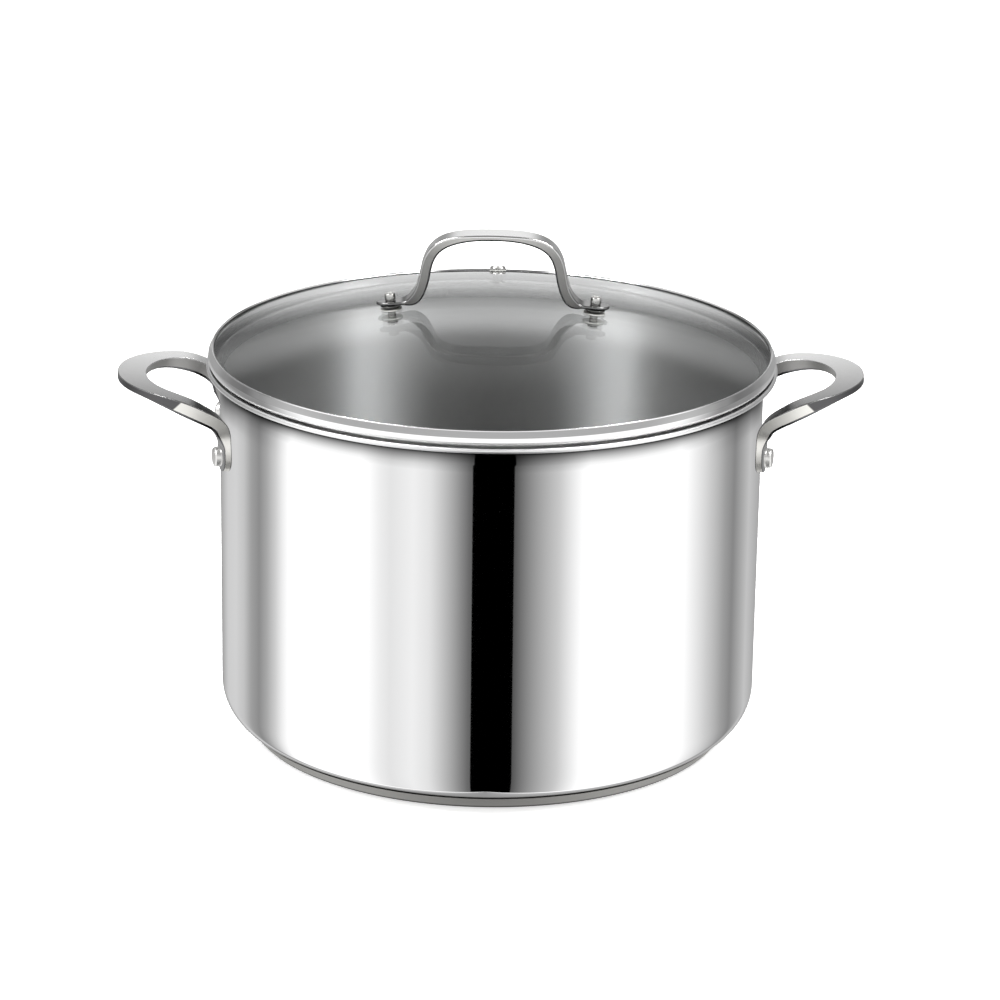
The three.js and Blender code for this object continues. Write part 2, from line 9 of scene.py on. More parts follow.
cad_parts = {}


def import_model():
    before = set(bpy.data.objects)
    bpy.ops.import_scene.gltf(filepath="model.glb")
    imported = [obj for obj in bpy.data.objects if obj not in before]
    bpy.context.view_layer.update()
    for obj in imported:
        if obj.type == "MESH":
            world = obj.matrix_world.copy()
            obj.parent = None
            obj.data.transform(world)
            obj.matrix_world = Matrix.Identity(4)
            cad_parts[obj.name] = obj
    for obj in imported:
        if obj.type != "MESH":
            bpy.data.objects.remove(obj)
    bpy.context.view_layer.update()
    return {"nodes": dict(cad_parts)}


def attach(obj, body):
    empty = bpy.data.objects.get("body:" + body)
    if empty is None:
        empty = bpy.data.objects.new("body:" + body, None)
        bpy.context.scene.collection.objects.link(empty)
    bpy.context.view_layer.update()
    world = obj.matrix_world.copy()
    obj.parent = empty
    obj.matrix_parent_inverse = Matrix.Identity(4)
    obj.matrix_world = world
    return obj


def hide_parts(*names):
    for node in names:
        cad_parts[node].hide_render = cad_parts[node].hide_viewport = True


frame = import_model()

# ---- driving dimensions, in millimetres, as in the CAD ----

MM = 0.001
GAP = 0.3
POT_STEPS = 256
PART_STEPS = 48

POT = dict(radius=160.0, foot=159.4, wall=1.0, under=6.0, corner=22.0, flare_start=213.0, flare=10.5,
           flare_turn=60.0, bead=1.5, bead_centre=(166.3, 223.4))
BASE = dict(radius=142.4, top_radius=147.5, sheet=0.8, height=7.6, lift=1.2)
HANDLE = dict(thick=4.0, swell=4.3, tab_bottom=170.8, tab_top=191.5, tab_spread=42.4, tab_width=17.6,
              arm_spread=46.4, arm_width=12.4, grip_width=16.6, edge=0.4, narrowing=(11, 30),
              swelling=(14.5, 26), thinning=(50, 84), widening=(10, 50), leaving_wall=20,
              dark_reflection_from=182.0, dark_reflection_height=213.0)
RIVET = dict(height=179.6, shank=3.0, head=5.95, head_height=4.2, inner_head=6.0, inner_height=1.3)
GLASS = dict(edge=165.4, crown=258.4, dome=540.0, thick=4.0)
RIM = dict(outer=166.9, lip=163.4, bottom=226.5, top=234.9, sheet=0.8, skirt=158.6, skirt_bottom=218.2,
           shaded=1.45, groove=223.7, groove_depth=0.7)
BAR = dict(lug_end=68.3, rivet_at=59.4, top=303.2, top_width=16.5, leg_width=13.6, lug_width=12.6,
           lug_thick=1.8, leg_thick=6.2, top_thick=3.4, edge=1.0, thickening=(6, 40), flattening=(44.5, 54))
BARREL = dict(shank=2.4, radius=3.15, height=4.2, foot=3.6)
SEAT = dict(top=6.2, bottom=4.7, height=2.2)
GASKET = dict(radius=6.4, height=0.7)
WASHER = dict(radius=6.0, height=0.6)
LID_TURN = math.radians(-3.4)
VENT = dict(at=143.0, radius=5.2, bore=2.3, sleeve=0.7, height=3.6)
RACK = dict(deck=22.0, rings=(("outer", 143.0), ("middle", 94.0), ("inner", 46.0)), ring_wire=2.5, wire=2.0,
            spoke_from=34.0, feet=4, foot_half=15.0, foot_bend=5.0, reach=116.0, droop=3.5, half=42.0,
            eye_spread=50.0, eye_bore=2.6, eye_wire=1.6, floor=7.0)

# ---- camera ----

VIEW = dict(distance=2600.0, elevation=19.27, turn=2.3, roll=0.85, target=115.0, lens=156.92,
            aim_up=0.490, aim_right=0.139)


def make_camera():
    e, turn, roll = (math.radians(VIEW[k]) for k in ("elevation", "turn", "roll"))
    right = Vector((1, 0, 0))
    up = Vector((0, math.sin(e), math.cos(e)))
    ahead = Vector((0, math.cos(e), -math.sin(e)))
    place = Vector((0, 0, VIEW["target"] * MM)) - ahead * VIEW["distance"] * MM
    tilted_right = right * math.cos(roll) + up * math.sin(roll)
    tilted_up = up * math.cos(roll) - right * math.sin(roll)
    ahead = ahead + tilted_up * math.tan(math.radians(VIEW["aim_up"]))
    ahead = (ahead + tilted_right * math.tan(math.radians(VIEW["aim_right"]))).normalized()
    side = (tilted_right - ahead * tilted_right.dot(ahead)).normalized()
    above = side.cross(ahead)
    frame_of = Matrix((side, above, -ahead)).transposed().to_4x4()
    camera = bpy.data.objects.new("camera", bpy.data.cameras.new("camera"))
    camera.data.lens = VIEW["lens"]
    camera.data.sensor_width = 36
    camera.data.clip_start = 0.05
    camera.data.clip_end = 60
    camera.matrix_world = Matrix.Rotation(-turn, 4, "Z") @ Matrix.Translation(place) @ frame_of
    bpy.context.scene.collection.objects.link(camera)
    bpy.context.scene.camera = camera


make_camera()

# ---- node helpers ----


def nodes_of(tree):
    tree.nodes.clear()

    def add(kind, _inputs=None, **settings):
        node = tree.nodes.new("ShaderNode" + kind)
        for key, value in settings.items():
            setattr(node, key, value)
        for key, value in (_inputs or {}).items():
            if isinstance(value, bpy.types.NodeSocket):
                tree.links.new(value, node.inputs[key])
            else:
                node.inputs[key].default_value = value
        return node

    return add


def ramp(add, value, stops, interpolation="LINEAR"):
    """A colour ramp of greys or colours: stops are (place, level or colour)."""
    node = add("ValToRGB", {"Fac": value})
    node.color_ramp.interpolation = interpolation
    points = node.color_ramp.elements
    while len(points) < len(stops):
        points.new(0.5)
    for point, (place, level) in zip(points, stops):
        point.position = place
        colour = level if isinstance(level, tuple) else (level,) * 3
        point.color = (*colour, 1)
    return node.outputs["Color"]


def material(name, build):
    made = bpy.data.materials.new(name)
    made.use_nodes = True
    add = nodes_of(made.node_tree)
    shader = build(add)
    add("OutputMaterial", {"Surface": shader})
    return made


def noise(add, scale, stretch=(1, 1, 1), detail=3.0):
    """Noise over the object's own coordinates, scale in cells per metre."""
    place = add("TexCoord").outputs["Object"]
    mapped = add("Mapping", {"Vector": place, "Scale": stretch}).outputs["Vector"]
    return add("TexNoise", {"Vector": mapped, "Scale": scale, "Detail": detail}).outputs["Fac"]


def round_axis(add, across, along):
    """Coordinates (radius, height) of the axis, so that noise of them runs in lines round the pot."""
    place = add("TexCoord").outputs["Object"]
    parts = add("SeparateXYZ", {"Vector": place})
    flat = add("CombineXYZ", {"X": parts.outputs["X"], "Y": parts.outputs["Y"]})
    radius = add("VectorMath", {0: flat.outputs[0]}, operation="LENGTH").outputs["Value"]
    turn = add("Math", {0: parts.outputs["Y"], 1: parts.outputs["X"]}, operation="ARCTAN2").outputs[0]
    lines = add("CombineXYZ", {"X": radius, "Y": parts.outputs["Z"], "Z": turn})
    return add("Mapping", {"Vector": lines.outputs[0], "Scale": (across, across, along)}).outputs["Vector"]


# Cells per metre of the patches where a metal is slightly darker or lighter.
CLOUDS = 9.0


def times(add, first, second):
    return add("Mix", {0: 1.0, 6: first, 7: second}, data_type="RGBA", blend_type="MULTIPLY").outputs[2]


def between(add, value, low, high):
    """The share of the way from low to high, in millimetres, that a coordinate has come."""
    return add("MapRange", {"Value": value, "From Min": low * MM, "From Max": high * MM}).outputs[0]


def coordinates(add):
    return add("SeparateXYZ", {"Vector": add("TexCoord").outputs["Object"]}).outputs


def shaded_along(axis, low, high, stops):
    """Painted shade: brightness that changes along one axis of the object, between two places in millimetres.
    """
    return lambda add: ramp(add, between(add, coordinates(add)[axis], low, high), stops)


def metal(name, light, dark, rough, spread, grain, bump, anisotropy=0.0, turned=True, shade=None,
          keeps_dark=False):
    """A polished or brushed metal: grain is its lines per metre, bump their depth in millimetres.

    The lines of a turned one run round the pot. A shade, when given, is painted light and shade
    multiplied into its colour; one that keeps dark also takes that colour, painted shade included, as
    its edge tint, so it doesn't brighten where it is seen at a slant.
    """

    def build(add):
        if turned:
            lines = add("TexNoise", {"Vector": round_axis(add, 1.0, 0.0006), "Scale": grain, "Detail": 2.0})
            lines = lines.outputs["Fac"]
        else:
            lines = noise(add, grain, (1.0, 1.0, 1.0), 2.0)
        tint = ramp(add, noise(add, CLOUDS), [(0.3, dark), (0.7, light)])
        if shade:
            tint = times(add, tint, shade(add))
        gloss = add("MapRange", {"Value": lines, "From Min": 0.3, "From Max": 0.7,
                                 "To Min": rough - spread, "To Max": rough + spread})
        relief = add("Bump", {"Height": lines, "Strength": 1.0, "Distance": bump * MM})
        shader = add("BsdfPrincipled", {"Base Color": tint, "Metallic": 1.0, "Roughness": gloss.outputs[0],
                                        "Normal": relief.outputs[0], "Anisotropic": anisotropy})
        if keeps_dark:
            shader.id_data.links.new(tint, shader.inputs["Specular Tint"])
        if anisotropy:
            shader.inputs["Anisotropic Rotation"].default_value = 0.25
            tangent = add("Tangent", direction_type="RADIAL", axis="Z")
            shader.id_data.links.new(tangent.outputs[0], shader.inputs["Tangent"])
        return shader.outputs[0]

    return material(name, build)


# Painted shade under the lip: the neck is darker than the wall, and more so to the left and right; brightness
# by height.
NECK_FROM, NECK_TO = 196, 226
NECK_FRONT = [(0.0, 1.0), (0.41, 1.0), (0.54, 0.80), (0.66, 0.46), (0.75, 0.24), (0.82, 0.14), (0.87, 0.30),
              (0.91, 1.0), (1.0, 1.0)]
NECK_SIDES = [(0.0, 1.0), (0.14, 0.94), (0.36, 0.66), (0.56, 0.38), (0.70, 0.20), (0.82, 0.11), (0.87, 0.26),
              (0.91, 0.90), (1.0, 1.0)]
NECK_SIDES_FROM, NECK_SIDES_TO = 118, 156


def neck_shade(add):
    parts = coordinates(add)
    height = between(add, parts["Z"], NECK_FROM, NECK_TO)
    out = between(add, add("Math", {0: parts["X"]}, operation="ABSOLUTE").outputs[0],
                  NECK_SIDES_FROM, NECK_SIDES_TO)
    return add("Mix", {0: out, 6: ramp(add, height, NECK_FRONT), 7: ramp(add, height, NECK_SIDES)},
               data_type="RGBA").outputs[2]


MIRROR = metal("mirror_steel", (0.90, 0.90, 0.902), (0.885, 0.885, 0.887),
               rough=0.035, spread=0.012, grain=2600, bump=0.0004)
# The wall's mirror steel, darkened under the lip by the painted neck shade.
NECKED = metal("mirror_steel_wall", (0.90, 0.90, 0.902), (0.885, 0.885, 0.887),
               rough=0.03, spread=0.01, grain=2600, bump=0.0002, shade=neck_shade, keeps_dark=True)
LIP = metal("rolled_lip", (0.88, 0.88, 0.882), (0.84, 0.84, 0.842),
            rough=0.34, spread=0.03, grain=2600, bump=0.0006)
# Brushed inside, with painted shade: darker towards the bottom.
BRUSHED = metal("brushed_inside", (0.60, 0.60, 0.603), (0.57, 0.57, 0.573),
                rough=0.55, spread=0.03, grain=5200, bump=0.0015, anisotropy=1.0,
                shade=shaded_along("Z", 20, 200, [(0.0, 0.72), (0.6, 0.86), (1.0, 1.0)]))
BRIGHT_INSIDE = metal("brushed_skirt", (0.93, 0.93, 0.932), (0.90, 0.90, 0.902),
                      rough=0.50, spread=0.03, grain=5200, bump=0.0006)
LEDGE = metal("brushed_ledge", (0.74, 0.74, 0.745), (0.70, 0.70, 0.705),
              rough=0.50, spread=0.04, grain=5200, bump=0.001, anisotropy=1.0)
# Painted shadow: near-black metal where the gap under the band lies in shade.
SHADED = metal("shaded_skirt", (0.02, 0.02, 0.02), (0.015, 0.015, 0.015),
               rough=0.5, spread=0.05, grain=5200, bump=0.001, keeps_dark=True)
# Satin base band, with painted shade darkening its bottom edge.
SATIN = metal("satin_base", (0.40, 0.395, 0.38), (0.37, 0.365, 0.35),
              rough=0.58, spread=0.04, grain=4200, bump=0.002,
              shade=shaded_along("Z", 0, 8, [(0.0, 0.25), (0.14, 0.25), (0.22, 1.0), (1.0, 1.0)]))
CAST = metal("satin_rivet", (0.84, 0.835, 0.82), (0.78, 0.775, 0.76),
             rough=0.42, spread=0.04, grain=2400, bump=0.006, turned=False)
WARM = metal("fitting_steel", (0.62, 0.615, 0.60), (0.56, 0.555, 0.54),
             rough=0.14, spread=0.02, grain=1800, bump=0.001, turned=False)
# The seat under the handle's lug is painted dark: painted shade under the lug.
SEAT_STEEL = metal("seat_steel", (0.16, 0.16, 0.155), (0.12, 0.12, 0.115),
                   rough=0.22, spread=0.03, grain=1800, bump=0.001, turned=False)
WIRE = metal("wire_steel", (0.80, 0.80, 0.79), (0.70, 0.70, 0.69),
             rough=0.16, spread=0.05, grain=3000, bump=0.006, turned=False)
CORE = metal("aluminium_core", (0.75, 0.76, 0.77), (0.68, 0.69, 0.70),
             rough=0.45, spread=0.06, grain=900, bump=0.02, turned=False)
# Painted shade: the side handles are darker towards the front, and the lid handle towards its lugs.
PAINTED_SHADE_TO_FRONT = shaded_along("Y", -54, 54, [(0.0, 0.22), (0.25, 0.40), (0.5, 0.62), (1.0, 1.0)])
PLATE = metal("handle_plate", (0.84, 0.84, 0.838), (0.81, 0.81, 0.808),
              rough=0.24, spread=0.02, grain=1800, bump=0.0006, turned=False, shade=PAINTED_SHADE_TO_FRONT)


# Painted dark reflection on the far part of the side handles' front edges, and painted shade on the edges
# behind.
PAINTED_DARK_REFLECTION = (0.13, 0.13, 0.14, 1)
PAINTED_SHADE_BEHIND = (0.46, 0.46, 0.47, 1)


def edge_shade(add):
    """The sheared edge is pale along the front arm, with a painted dark reflection beyond a slanting line and
    painted shade behind.
    """
    parts = coordinates(add)
    out = add("Math", {0: parts["X"]}, operation="ABSOLUTE").outputs[0]
    slanted = add("Math", {0: out, 1: parts["Z"]}, operation="ADD").outputs[0]
    start = HANDLE["dark_reflection_from"] + HANDLE["dark_reflection_height"]
    far_out = between(add, slanted, start, start + 1)
    front = add("Mix", {0: far_out, 6: (1, 1, 1, 1), 7: PAINTED_DARK_REFLECTION}, data_type="RGBA").outputs[2]
    behind = between(add, parts["Y"], -1, 1)
    return add("Mix", {0: behind, 6: front, 7: PAINTED_SHADE_BEHIND}, data_type="RGBA").outputs[2]


SHEARED = metal("handle_edge", (0.90, 0.89, 0.85), (0.85, 0.84, 0.80),
                rough=0.40, spread=0.04, grain=2600, bump=0.003, turned=False, shade=edge_shade)
# Painted dark reflection on one pair of rounded edges of the handles.
PAINTED_DARK_CORNERS = metal("handle_edge_painted_dark", (0.16, 0.16, 0.165), (0.12, 0.12, 0.125),
                  rough=0.16, spread=0.03, grain=1800, bump=0.001, turned=False)
# Painted shade on the lid handle: darker towards its lugs.
PAINTED_SHADE_TO_LUGS = shaded_along("Z", 256, 304, [(0.0, 0.22), (0.25, 0.30), (0.7, 0.52), (0.92, 1.0), (1.0, 1.0)])
GRIP = metal("lid_handle_steel", (0.84, 0.84, 0.835), (0.81, 0.81, 0.805),
             rough=0.13, spread=0.02, grain=1800, bump=0.0006, turned=False, shade=PAINTED_SHADE_TO_LUGS)
GRIP_EDGE = metal("lid_handle_edge", (0.80, 0.795, 0.775), (0.76, 0.755, 0.735),
                  rough=0.36, spread=0.04, grain=2600, bump=0.002, turned=False, shade=PAINTED_SHADE_TO_LUGS)
# The vent's sleeve under the glass gets painted shade: darker below.
SLEEVED = metal("vent_steel", (0.62, 0.615, 0.60), (0.56, 0.555, 0.54),
                rough=0.36, spread=0.02, grain=1800, bump=0.001, turned=False,
                shade=shaded_along("Z", 236.5, 241, [(0.0, 0.12), (0.5, 0.3), (1.0, 1.0)]))


def silicone(add):
    mottled = ramp(add, noise(add, 700), [(0.3, (0.46, 0.46, 0.44)), (0.7, (0.50, 0.50, 0.48))])
    relief = add("Bump", {"Height": noise(add, 2500), "Strength": 0.5, "Distance": 0.02 * MM})
    shader = add("BsdfPrincipled", {"Base Color": mottled, "Roughness": 0.55, "Normal": relief.outputs[0]})
    return shader.outputs[0]


SILICONE = material("silicone", silicone)


def clear_glass(add):
    """A clear pane: what passes is hardly tinted, and what is mirrored grows towards grazing."""
    facing = add("LayerWeight", {"Blend": 0.5}).outputs["Facing"]
    steep = add("Math", {0: facing, 1: 5.0}, operation="POWER").outputs[0]
    share = add("Math", {0: steep, 1: 0.90, 2: 0.045}, operation="MULTIPLY_ADD", use_clamp=True).outputs[0]
    smear = add("MapRange", {"Value": noise(add, 14.0), "To Min": 0.002, "To Max": 0.010}).outputs[0]
    shine = add("BsdfPrincipled", {"Base Color": (0.96, 0.97, 0.97, 1), "Metallic": 1.0, "Roughness": smear})
    through = add("BsdfTransparent", {"Color": (0.958, 0.962, 0.960, 1)})
    return add("MixShader", {0: share, 1: through.outputs[0], 2: shine.outputs[0]}).outputs[0]


PANE = material("clear_glass", clear_glass)

# ---- mesh helpers ----


def arc(cx, cz, radius, start, stop, steps):
    turns = np.radians(np.linspace(start, stop, steps + 1))
    return [(cx + radius * math.cos(t), cz + radius * math.sin(t)) for t in turns]


def rounded(corners, steps=5, closed=True):
    """A section of straight runs whose corners (across, up, radius) are rounded."""
    made = []
    count = len(corners)
    for i, (x, z, radius) in enumerate(corners):
        here = np.array((x, z), float)
        at_end = not closed and i in (0, count - 1)
        if at_end or radius <= 0:
            made.append(tuple(here))
            continue
        to_last = np.array(corners[i - 1][:2]) - here
        to_next = np.array(corners[(i + 1) % count][:2]) - here
        reach = 0.45 * min(np.linalg.norm(to_last), np.linalg.norm(to_next))
        to_last, to_next = to_last / np.linalg.norm(to_last), to_next / np.linalg.norm(to_next)
        half = 0.5 * math.acos(float(np.clip(to_last @ to_next, -1, 1)))
        back = min(radius / math.tan(half), reach)
        middle = here + (to_last + to_next) / np.linalg.norm(to_last + to_next) * back / math.cos(half)
        first, last = here + to_last * back - middle, here + to_next * back - middle
        swing = math.atan2(first[0] * last[1] - first[1] * last[0], float(first @ last))
        for s in np.linspace(0, swing, steps + 1):
            turn = np.array(((math.cos(s), -math.sin(s)), (math.sin(s), math.cos(s))))
            made.append(tuple(middle + turn @ first))
    return made


def mesh_object(name, points, faces, sharp=35.0):
    mesh = bpy.data.meshes.new(name)
    mesh.from_pydata([tuple(p) for p in np.asarray(points, float) * MM], [], faces)
    mesh.shade_smooth()
    mesh.set_sharp_from_angle(angle=math.radians(sharp))
    made = bpy.data.objects.new(name, mesh)
    bpy.context.scene.collection.objects.link(made)
    return made


def dress(made, body, slot, look, *replaced):
    made.data.materials.append(look)
    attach(made, body)
    if replaced:
        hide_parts(*replaced)
    return made


def lathe(name, section, steps=PART_STEPS, place=None, sharp=35.0):
    """A section (radius, height) turned round +Z. It is a closed loop, or runs from the axis to the axis."""
    on_axis = section[0][0] < 1e-6
    turns = np.linspace(0, 2 * math.pi, steps, endpoint=False)
    cos, sin = np.cos(turns), np.sin(turns)
    rings = section[1:-1] if on_axis else section
    points = [(r * c, r * s, z) for r, z in rings for c, s in zip(cos, sin)]
    faces = []
    count = len(rings)
    for i in range(count - 1 if on_axis else count):
        low, high = i * steps, ((i + 1) % count) * steps
        faces += [(low + j, low + (j + 1) % steps, high + (j + 1) % steps, high + j) for j in range(steps)]
    if on_axis:
        points += [(0, 0, section[0][1]), (0, 0, section[-1][1])]
        first, last = len(points) - 2, len(points) - 1
        top = (count - 1) * steps
        faces += [(first, (j + 1) % steps, j) for j in range(steps)]
        faces += [(last, top + j, top + (j + 1) % steps) for j in range(steps)]
    points = np.array(points)
    if place is not None:
        points = place(points)
    return mesh_object(name, points, faces, sharp)


def swept(name, rings, closed=False, sharp=35.0):
    """Skin over a row of rings of points, with both ends closed by a fan unless the row is a loop."""
    rings = np.asarray(rings, float)
    count, around, _ = rings.shape
    points = list(rings.reshape(-1, 3))
    faces = []
    for i in range(count if closed else count - 1):
        low, high = i * around, ((i + 1) % count) * around
        faces += [(low + j, low + (j + 1) % around, high + (j + 1) % around, high + j) for j in range(around)]
    if not closed:
        top = (count - 1) * around
        points += [rings[0].mean(0), rings[-1].mean(0)]
        faces += [(len(points) - 2, (j + 1) % around, j) for j in range(around)]
        faces += [(len(points) - 1, top + j, top + (j + 1) % around) for j in range(around)]
    return mesh_object(name, points, faces, sharp)


def wire(name, line, normal, radius, around=16):
    """A round bar along a line that lies in the plane of `normal`, with softened ends."""
    line = np.asarray(line, float)
    normal = np.asarray(normal, float)
    ahead = np.gradient(line, axis=0)
    ahead /= np.linalg.norm(ahead, axis=1)[:, None]
    soft = 0.6
    ends = [(0.0, radius - soft), (0.3 * soft, radius - 0.3 * soft), (soft, radius)]
    starts = [(line[0] + ahead[0] * d, ahead[0], r) for d, r in ends]
    stops = [(line[-1] - ahead[-1] * d, ahead[-1], r) for d, r in reversed(ends)]
    rows = starts + [(line[i], ahead[i], radius) for i in range(1, len(line) - 1)] + stops
    turns = np.linspace(0, 2 * math.pi, around, endpoint=False)
    rings = []
    for at, along, r in rows:
        side = np.cross(along, normal)
        rings.append([at + r * (math.cos(t) * side + math.sin(t) * normal) for t in turns])
    return swept(name, rings)


def bezier(*controls, steps=24):
    controls = [np.array(c, float) for c in controls]
    rows = []
    for t in np.linspace(0, 1, steps + 1):
        level = controls
        while len(level) > 1:
            level = [a * (1 - t) + b * t for a, b in zip(level, level[1:])]
        rows.append(level[0])
    return rows


def chain(*runs):
    """Runs of points joined into one line, without the doubled points where they meet."""
    line = []
    for run in runs:
        line += [np.array(p, float) for p in (run if not line else run[1:])]
    return np.array(line)


class Line:
    """A line of points, looked up by the distance along it."""

    def __init__(self, points):
        self.points = points
        steps = np.linalg.norm(np.diff(points, axis=0), axis=1)
        self.far = np.concatenate(([0.0], np.cumsum(steps)))
        self.length = self.far[-1]

    def at(self, s):
        return np.array([np.interp(s, self.far, column) for column in self.points.T])

    def along(self, s):
        step = 0.25
        low, high = max(0.0, s - step), min(self.length, s + step)
        way = self.at(high) - self.at(low)
        return way / np.linalg.norm(way)


def smooth(low, high, value):
    t = min(1.0, max(0.0, (value - low) / (high - low)))
    return t * t * (3 - 2 * t)


def mix(a, b, t):
    return a + (b - a) * t


def turned_about_z(points, angle):
    c, s = math.cos(angle), math.sin(angle)
    return points @ np.array(((c, s, 0), (-s, c, 0), (0, 0, 1)))


def glass_top(r):
    return GLASS["crown"] - GLASS["dome"] + math.sqrt(GLASS["dome"] ** 2 - r**2)


# ---- pot ----


def pot_shell():
    p = POT
    corner_at, corner_height = p["foot"] - p["corner"], p["under"] + p["corner"]
    flare_at = p["radius"] + p["flare"]
    bx, bz = p["bead_centre"]
    hold = 0.6
    floor_ring = 60
    inner_radius, inner_foot = p["radius"] - p["wall"], p["foot"] - p["wall"]
    floor_top = p["under"] + p["wall"]
    outside = [(0, p["under"]), (floor_ring, p["under"]), (corner_at - hold, p["under"])]
    outside += arc(corner_at, corner_height, p["corner"], -90, 0, 20)
    outside += [(p["foot"], corner_height + hold), (p["radius"], p["flare_start"] - hold)]
    outside += arc(flare_at, p["flare_start"], p["flare"], 180, 180 - p["flare_turn"], 16)
    bead = arc(bx, bz, p["bead"], -60, 126, 16)[1:-1]
    inside = arc(flare_at, p["flare_start"], p["flare"] + p["wall"], 180 - p["flare_turn"], 180, 16)
    inside += [(inner_radius, p["flare_start"] - hold), (inner_foot, corner_height + hold)]
    inside += arc(corner_at, corner_height, p["corner"] - p["wall"], 0, -90, 20)
    inside += [(corner_at - hold, floor_top), (floor_ring, floor_top), (0, floor_top)]
    section = outside + bead + inside
    shell = lathe("pot_shell", section, POT_STEPS)
    dress(shell, "pot", "mirror_steel", NECKED, "pot_body")
    shell.data.materials.append(BRUSHED)
    shell.data.materials.append(LIP)
    split = len(outside) + len(bead) + 1
    for face in shell.data.polygons:
        rows = [v // POT_STEPS + 1 for v in face.vertices]
        lowest = min(rows)
        if lowest >= split or (len(face.vertices) == 3 and face.center.z > (p["under"] + 0.5) * MM):
            face.material_index = 1
        elif lowest >= len(outside) - 1:
            face.material_index = 2


def base_band():
    radius, top_radius = BASE["radius"], BASE["top_radius"]
    sheet, height, lift = BASE["sheet"], BASE["height"], BASE["lift"]
    section = rounded(
        [(0, 0, 0), (radius - lift, 0, 0.9), (radius, lift, 0.9), (top_radius, height, 0.25),
         (top_radius - sheet, height, 0.25), (radius - sheet - 0.5, sheet + lift, 0.5),
         (radius - sheet - lift, sheet, 0.5), (0, sheet, 0)], closed=False)
    dress(lathe("base_band", section, POT_STEPS), "pot", "satin_steel", SATIN, "base_cap")
    frame["nodes"]["base_core"].data.materials.clear()
    frame["nodes"]["base_core"].data.materials.append(CORE)


# ---- side handles ----

BAR_AROUND = 32
BAR_SIDES = (15, 31)
BAR_CORNERS = dict(inner=(*range(0, 7), *range(8, 15)), outer=(*range(16, 23), *range(24, 31)))


def flat_bar(half, deep, edge):
    """A flat bar's section: flat faces held flat right up to four rounded edges."""
    hold = 0.12
    made = []
    for start, side, face in ((0, 1, 1), (90, -1, 1), (180, -1, -1), (270, 1, -1)):
        corner = arc(side * (half - edge), face * (deep - edge), edge, start, start + 90, 5)
        c, s = math.cos(math.radians(start)), math.sin(math.radians(start))
        before = (corner[0][0] + s * hold, corner[0][1] - c * hold)
        after = (corner[-1][0] - c * hold, corner[-1][1] - s * hold)
        made += [before, *corner, after]
    return made


def dress_sides(bar, side_look, corners, corner_look):
    """Gives a swept flat bar's two narrow faces and one pair of its rounded edges their own materials."""
    bar.data.materials.append(side_look)
    bar.data.materials.append(corner_look)
    skin = len(bar.data.polygons) - 2 * BAR_AROUND
    for face in bar.data.polygons:
        place = face.index % BAR_AROUND
        if face.index < skin and place in BAR_SIDES:
            face.material_index = 1
        elif face.index < skin and place in BAR_CORNERS[corners]:
            face.material_index = 2


def side_handle(word, flip):
    h = HANDLE
    top = h["tab_top"]
    profile = Line(chain(
        bezier((0, h["tab_bottom"]), (0, top), steps=12),
        bezier((0, top), (0, 201.5), (6.5, 204.6), (16, 209.4), steps=60),
        bezier((16, 209.4), (26, 214.4), (36, 215.1), (64.2, 217.5), steps=60)))
    reach = profile.length
    grip = reach - h["grip_width"] / 2
    spread, arm = h["tab_spread"], h["arm_spread"]
    blank = Line(chain(
        bezier((0, spread), (16, spread), steps=8),
        bezier((16, spread), (28, spread), (28, arm), (42, arm), steps=40),
        bezier((42, arm), (66, arm), (grip, 27), (grip, 0), steps=80)))
    round_end = h["tab_width"] / 2
    places = [round_end * (1 - math.cos(t)) for t in np.linspace(0, math.pi / 2, 14, endpoint=False)]
    places += list(np.linspace(round_end, blank.length, 84))
    tab_radius = POT["radius"] + GAP + h["thick"] / 2
    flat = math.sqrt(tab_radius**2 - arm**2)

    def width(x, y):
        narrowed = mix(h["tab_width"], h["arm_width"], smooth(*h["narrowing"], x))
        full = mix(h["grip_width"], narrowed, smooth(*h["widening"], y))
        end = min(1.0, max(0.0, x) / round_end)
        return full * max(0.10, math.sqrt(1 - (1 - end) ** 2))

    def place(x, y, through):
        u = min(reach, max(0.0, x))
        spot, along = profile.at(u), profile.along(u)
        beyond = x - u
        on_wall = math.sqrt((tab_radius + through) ** 2 - y**2) - through
        start = mix(on_wall, flat, smooth(0, h["leaving_wall"], spot[0]))
        swell = h["swell"] * smooth(*h["swelling"], x) * (1 - smooth(*h["thinning"], x))
        level = through * (1 + 2 * swell / h["thick"]) if through > 0 else through
        return (start + spot[0] + along[0] * beyond + along[1] * level, y,
                spot[1] + along[1] * beyond - along[0] * level)

    def ring(at, side, wide):
        section = flat_bar(wide / 2, h["thick"] / 2, min(h["edge"], wide * 0.4))
        return [place(at[0] + side[0] * a, at[1] + side[1] * a, b) for a, b in section]

    rows = []
    for s in places:
        at, along = blank.at(s), blank.along(s)
        rows.append((at, np.array((-along[1], along[0])), width(at[0], at[1])))
    rows[-1] = (rows[-1][0], np.array((1.0, 0.0)), rows[-1][2])
    mirrored = [((at[0], -at[1]), (side[0], -side[1]), wide) for at, side, wide in rows[-2::-1]]
    rings = np.array([ring(*row) for row in rows + mirrored])
    if flip:
        rings = turned_about_z(rings.reshape(-1, 3), math.pi).reshape(rings.shape)
    made = swept(f"side_handle_{word}_bent", rings[:, ::-1])
    dress(made, "pot", "mirror_steel", PLATE, f"side_handle_{word}")
    dress_sides(made, SHEARED, "outer", PAINTED_DARK_CORNERS)
    made.visible_glossy = False


def to_wall(azimuth):
    def place(points):
        laid = np.stack([points[:, 2] + POT["radius"], points[:, 1], RIVET["height"] - points[:, 0]], 1)
        return turned_about_z(laid, azimuth)

    return place


